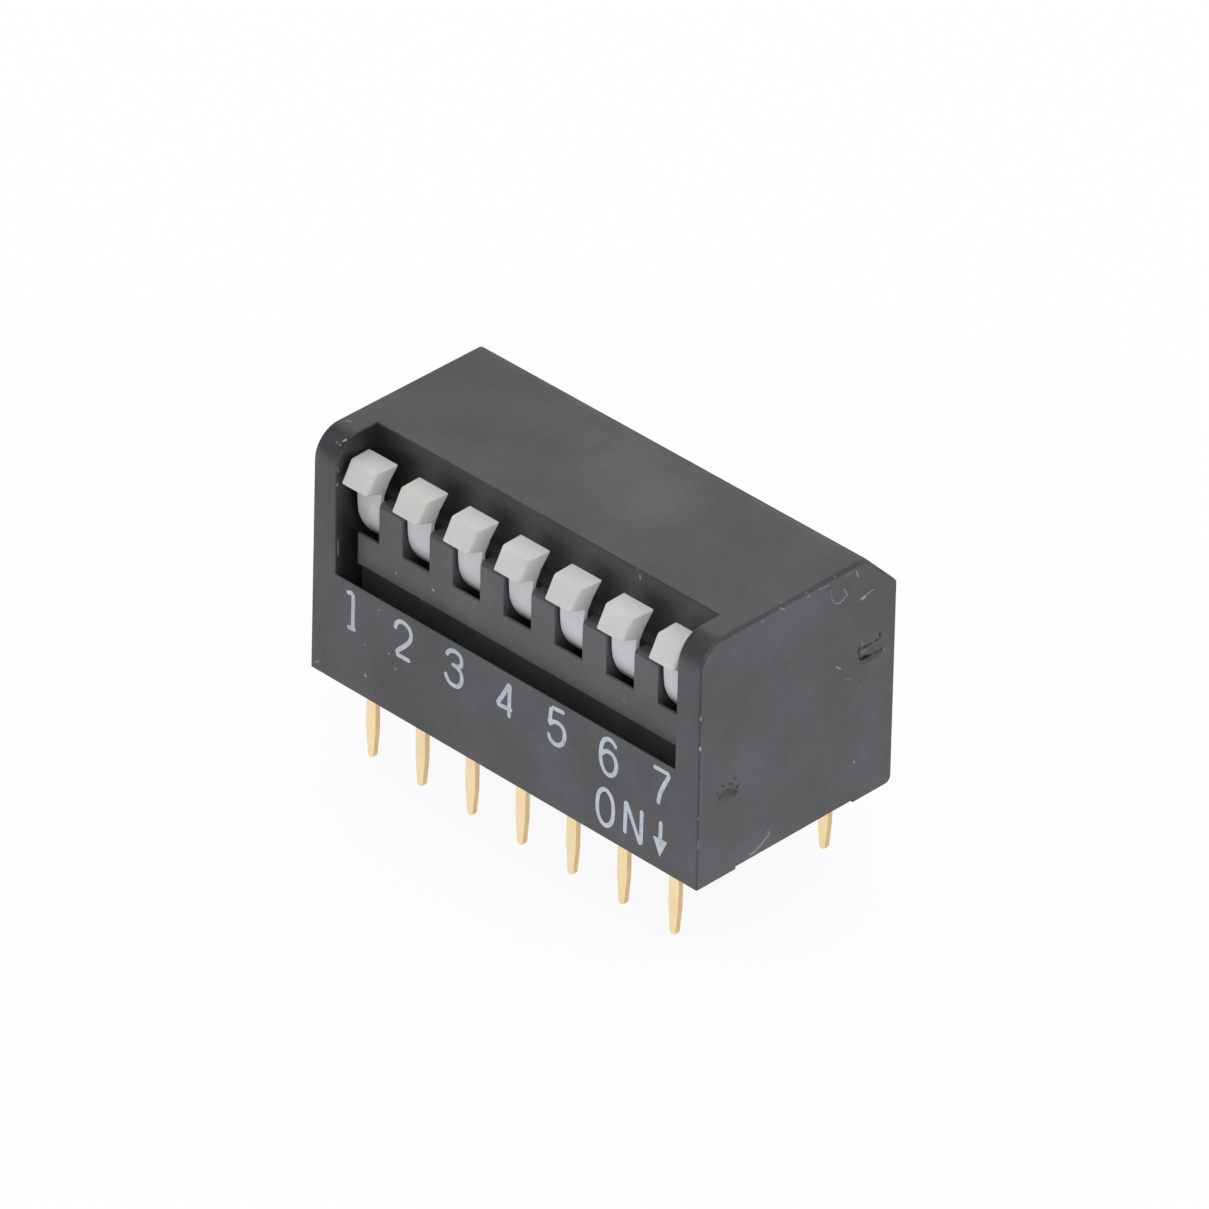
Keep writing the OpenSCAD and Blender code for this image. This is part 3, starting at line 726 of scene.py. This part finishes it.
# centre lines as [along the row, up] in mm on the front face; a curve runs smoothly through its points
printLook = {"stroke": 0.185, "height": 0.02, "faceY": -4.95, "arrowCorner": 0.05, "arrowRim": 0.006}
printStrokes = {
    "number1": [
        [(-7.54, 7.57), (-7.553, 6.08)],
        [(-7.55, 7.6), (-7.88, 7.49)],
        [(-7.84, 6.045), (-7.4, 6.08)],
    ],
    "number2": [
        [(-5.4, 7.12), (-5.36, 7.36), (-5.2, 7.53), (-5.0, 7.58), (-4.77, 7.51), (-4.62, 7.33),
         (-4.61, 7.1), (-4.7, 6.87), (-4.93, 6.6), (-5.2, 6.33), (-5.345, 6.13)],
        [(-5.35, 6.08), (-4.62, 6.1)],
    ],
    "number3": [
        [(-2.82, 7.27), (-2.7, 7.48), (-2.53, 7.59), (-2.33, 7.62), (-2.13, 7.53), (-2.05, 7.33),
         (-2.1, 7.13), (-2.27, 7.02), (-2.55, 7.01)],
        [(-2.3, 7.0), (-2.1, 6.87), (-2.03, 6.65), (-2.06, 6.42), (-2.2, 6.22), (-2.42, 6.15),
         (-2.64, 6.2), (-2.8, 6.37), (-2.84, 6.54)],
    ],
    "number4": [
        [(0.36, 7.57), (0.34, 6.13)],
        [(0.35, 7.57), (0.04, 6.98), (-0.26, 6.46)],
        [(-0.26, 6.45), (0.5, 6.51)],
    ],
    "number5": [
        [(3.08, 7.67), (2.43, 7.63)],
        [(2.42, 7.61), (2.35, 6.88)],
        [(2.33, 6.85), (2.48, 7.02), (2.68, 7.1), (2.9, 7.08), (3.06, 6.93), (3.1, 6.66),
         (3.02, 6.37), (2.82, 6.19), (2.58, 6.16), (2.38, 6.28), (2.29, 6.5)],
    ],
    "number6": [
        [(5.63, 7.42), (5.5, 7.6), (5.28, 7.66), (5.07, 7.56), (4.94, 7.33), (4.89, 7.05),
         (4.89, 6.7), (4.97, 6.4), (5.13, 6.2), (5.31, 6.16)],
        [(5.13, 6.2), (5.31, 6.16), (5.53, 6.29), (5.65, 6.56), (5.64, 6.83), (5.52, 7.04),
         (5.3, 7.13), (5.07, 7.06), (4.93, 6.88)],
    ],
    "number7": [
        [(7.44, 7.62), (8.24, 7.63)],
        [(8.24, 7.61), (8.0, 7.1), (7.81, 6.64), (7.72, 6.14)],
    ],
    "letterO": [
        [(5.17, 5.47), (4.96, 5.36), (4.82, 5.11), (4.775, 4.71), (4.82, 4.32), (4.96, 4.07), (5.17, 3.96),
         (5.38, 4.07), (5.52, 4.32), (5.565, 4.71), (5.52, 5.11), (5.38, 5.36), (5.17, 5.47)],
    ],
    "letterN": [
        [(6.17, 5.49), (6.15, 4.1)],
        [(6.95, 5.48), (6.94, 4.03)],
        [(6.18, 5.49), (6.92, 3.98)],
    ],
    "arrow": [
        [(7.88, 5.49), (7.875, 4.6)],
    ],
}
arrowHead = [(7.52, 4.71), (7.87, 3.96), (8.22, 4.75)]


def smoothPath(points, steps=8):
    if len(points) == 2:
        (ax, az), (bx, bz) = points
        count = 24
        return [(ax + (bx - ax) * k / count, az + (bz - az) * k / count) for k in range(count + 1)]
    closed = points[0] == points[-1]
    around = [points[-2] if closed else points[0], *points, points[1] if closed else points[-1]]
    path = []
    for k in range(1, len(around) - 2):
        for s in range(steps):
            t = s / steps
            path.append(tuple(
                0.5 * (2 * b + (c - a) * t + (2 * a - 5 * b + 4 * c - d) * t * t
                       + (3 * b - a - 3 * c + d) * t ** 3)
                for a, b, c, d in zip(*around[k - 1:k + 3])))
    return path + [points[-1]]


# a tube along the path, narrowing to rounded ends, and pressed flat on the front face
def strokeMesh(name, points):
    half = printLook["stroke"] / 2
    path = smoothPath(points)
    lengths = [0]
    for a, b in zip(path, path[1:]):
        lengths.append(lengths[-1] + math.dist(a, b))
    total = lengths[-1]

    def at(distance):
        k = next((k for k in range(1, len(path)) if lengths[k] >= distance), len(path) - 1)
        t = (distance - lengths[k - 1]) / (lengths[k] - lengths[k - 1])
        return tuple(a + (b - a) * t for a, b in zip(path[k - 1], path[k]))

    closed = points[0] == points[-1]
    if closed:
        stations = [(p, 1.0) for p in path[:-1]]
    else:
        rounded = [half * (1 - math.cos(math.radians(a))) for a in (8, 22, 38, 54, 72, 90)]
        swell = [math.sqrt(1 - (1 - s / half) ** 2) for s in rounded]
        stations = ([(at(s), r) for s, r in zip(rounded, swell)]
                    + [(p, 1.0) for p, s in zip(path, lengths) if half < s < total - half]
                    + [(at(total - s), r) for s, r in zip(reversed(rounded), reversed(swell))])
    curve = bpy.data.curves.new(name, "CURVE")
    curve.dimensions = "3D"
    curve.bevel_depth = half * mm
    curve.bevel_resolution = 3
    curve.use_fill_caps = True
    spline = curve.splines.new("POLY")
    spline.points.add(len(stations) - 1)
    for point, ((x, z), radius) in zip(spline.points, stations):
        point.co = (x * mm, 0, z * mm, 1)
        point.radius = radius
    spline.use_cyclic_u = closed
    obj = bpy.data.objects.new(name, curve)
    scene.collection.objects.link(obj)
    pick(obj)
    bpy.ops.object.convert(target="MESH")
    obj = bpy.context.view_layer.objects.active
    obj.scale = (1, printLook["height"] / (2 * half), 1)
    obj.location = (0, printLook["faceY"] * mm, 0)
    settle(obj)
    bpy.ops.object.mode_set(mode="EDIT")  # joins the end caps to the tube
    bpy.ops.mesh.select_all(action="SELECT")
    bpy.ops.mesh.remove_doubles(threshold=0.0005 * mm)
    bpy.ops.object.mode_set(mode="OBJECT")
    return obj


# the solid head of the arrow: a thin three-sided plate with rounded corners
def arrowHeadMesh():
    deselectAll()
    bpy.ops.mesh.primitive_cylinder_add(vertices=3, radius=mm, depth=printLook["height"] * mm,
                                        location=(0, printLook["faceY"] * mm, 0),
                                        rotation=(math.pi / 2, 0, 0))
    obj = bpy.context.active_object
    settle(obj)
    lefts = sorted({round(v.co.x, 7) for v in obj.data.vertices})
    for vertex in obj.data.vertices:
        x, z = arrowHead[min(range(3), key=lambda k: abs(lefts[k] - vertex.co.x))]
        vertex.co.x, vertex.co.z = x * mm, z * mm
    obj.data.update()
    roundEdges(obj, lambda middle, turn, convex: printLook["arrowCorner" if turn > 95 else "arrowRim"], 3)
    return obj


for name, strokes in printStrokes.items():
    parts = [strokeMesh(f"{name}Stroke{k}", points) for k, points in enumerate(strokes)]
    if name == "arrow":
        parts.append(arrowHeadMesh())
    glyph = parts[0]
    for other in parts[1:]:
        applied(glyph, "BOOLEAN", operation="UNION", solver="EXACT", object=other)
        bpy.data.objects.remove(other)
    glyph.name = glyph.data.name = name
    dressed(glyph, printInk)
    pick(glyph)
    bpy.ops.object.shade_smooth_by_angle(angle=math.radians(50))
    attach(glyph, "housing")
print("numbers done")

studio = {"world": 1.0, "worldColour": (0.985, 0.99, 1, 1), "floor": 0.93, "floorGlow": 0.92,
          "floorBounce": 1.2, "bounceTint": (0.87, 0.95, 1.1), "roughness": 0.9,
          "cardAt": (-0.178, -0.172, 0.185), "cardSize": (0.9, 0.5), "cardColour": (0.02, 0.02, 0.02, 1)}
deselectAll()
bpy.ops.mesh.primitive_plane_add(size=8, location=(0, 0, 0))
floor = bpy.context.active_object
floor.name = "floor"
floorPaint = bpy.data.materials.new("floorPaint")
floorPaint.use_nodes = True
tree = floorPaint.node_tree
floorShader = tree.nodes["Principled BSDF"]
floorShader.inputs["Base Color"].default_value = (studio["floor"],) * 3 + (1,)
floorShader.inputs["Roughness"].default_value = studio["roughness"]
floorShader.inputs["Specular IOR Level"].default_value = 0.1
rayKind = addNode(tree, "LightPath")
bounce = rayKind.outputs["Is Diffuse Ray"]
tint = mixColour(tree, bounce, (1, 1, 1), studio["bounceTint"])
power = mathNode(tree, "ADD", mathNode(tree, "MULTIPLY", bounce, studio["floorBounce"] - 1), 1)
glow = addNode(tree, "Emission", {"Color": tint, "Strength": power})
seen = mathNode(tree, "MAXIMUM", rayKind.outputs["Is Camera Ray"], rayKind.outputs["Is Glossy Ray"])
seen = mathNode(tree, "MAXIMUM", seen, rayKind.outputs["Is Transmission Ray"])
share = mathNode(tree, "MAXIMUM", mathNode(tree, "MULTIPLY", seen, studio["floorGlow"]), bounce)
blend = addNode(tree, "MixShader", {0: share, 1: floorShader.outputs[0], 2: glow.outputs[0]})
# from below the floor is not there, so that the pins and the underside can be looked at
clear = addNode(tree, "BsdfTransparent")
fromBelow = mathNode(tree, "MULTIPLY", rayKind.outputs["Is Camera Ray"],
                     addNode(tree, "NewGeometry").outputs["Backfacing"])
surface = addNode(tree, "MixShader", {0: fromBelow, 1: blend.outputs[0], 2: clear.outputs[0]})
tree.links.new(surface.outputs[0], tree.nodes["Material Output"].inputs["Surface"])
floor.data.materials.append(floorPaint)

# a dark card high on the left of the camera keeps the rounded top edge of the case dark
bpy.ops.mesh.primitive_plane_add(size=1)
card = bpy.context.active_object
card.name = "darkCard"
card.scale = (*studio["cardSize"], 1)
card.rotation_mode = "QUATERNION"
card.rotation_quaternion = Vector(studio["cardAt"]).to_track_quat("Z", "Y")
card.location = studio["cardAt"]
card.visible_camera = False
card.visible_diffuse = False
cardPaint = bpy.data.materials.new("cardPaint")
cardPaint.use_nodes = True
cardShader = cardPaint.node_tree.nodes["Principled BSDF"]
cardShader.inputs["Base Color"].default_value = studio["cardColour"]
cardShader.inputs["Roughness"].default_value = studio["roughness"]
card.data.materials.append(cardPaint)

world = bpy.data.worlds.new("world")
scene.world = world
world.use_nodes = True
sky = world.node_tree.nodes["Background"]
sky.inputs["Color"].default_value = studio["worldColour"]
sky.inputs["Strength"].default_value = studio["world"]
scene.view_settings.view_transform = "Standard"

cameraView = {"azimuth": 43.907, "elevation": 33.869, "roll": 1.421, "distance": 0.4,
              "aim": (0, 0.00007, 0.0074), "lens": 335.37, "shift": (0.00144, 0.02064)}
azimuth, elevation, roll = (math.radians(cameraView[k]) for k in ("azimuth", "elevation", "roll"))
back = Vector((math.sin(azimuth) * math.cos(elevation), -math.cos(azimuth) * math.cos(elevation),
               math.sin(elevation)))
level = Vector((math.cos(azimuth), math.sin(azimuth), 0))
upright = back.cross(level)
right = level * math.cos(roll) + upright * math.sin(roll)
up = upright * math.cos(roll) - level * math.sin(roll)
place = Vector(cameraView["aim"]) + back * cameraView["distance"]
bpy.ops.object.camera_add()
camera = bpy.context.active_object
camera.name = "camera"
camera.matrix_world = Matrix(((right.x, up.x, back.x, place.x), (right.y, up.y, back.y, place.y),
                              (right.z, up.z, back.z, place.z), (0, 0, 0, 1)))
camera.data.lens = cameraView["lens"]
camera.data.sensor_width = 36
camera.data.shift_x, camera.data.shift_y = cameraView["shift"]
camera.data.clip_start, camera.data.clip_end = 0.01, 10
scene.camera = camera
print("studio done")
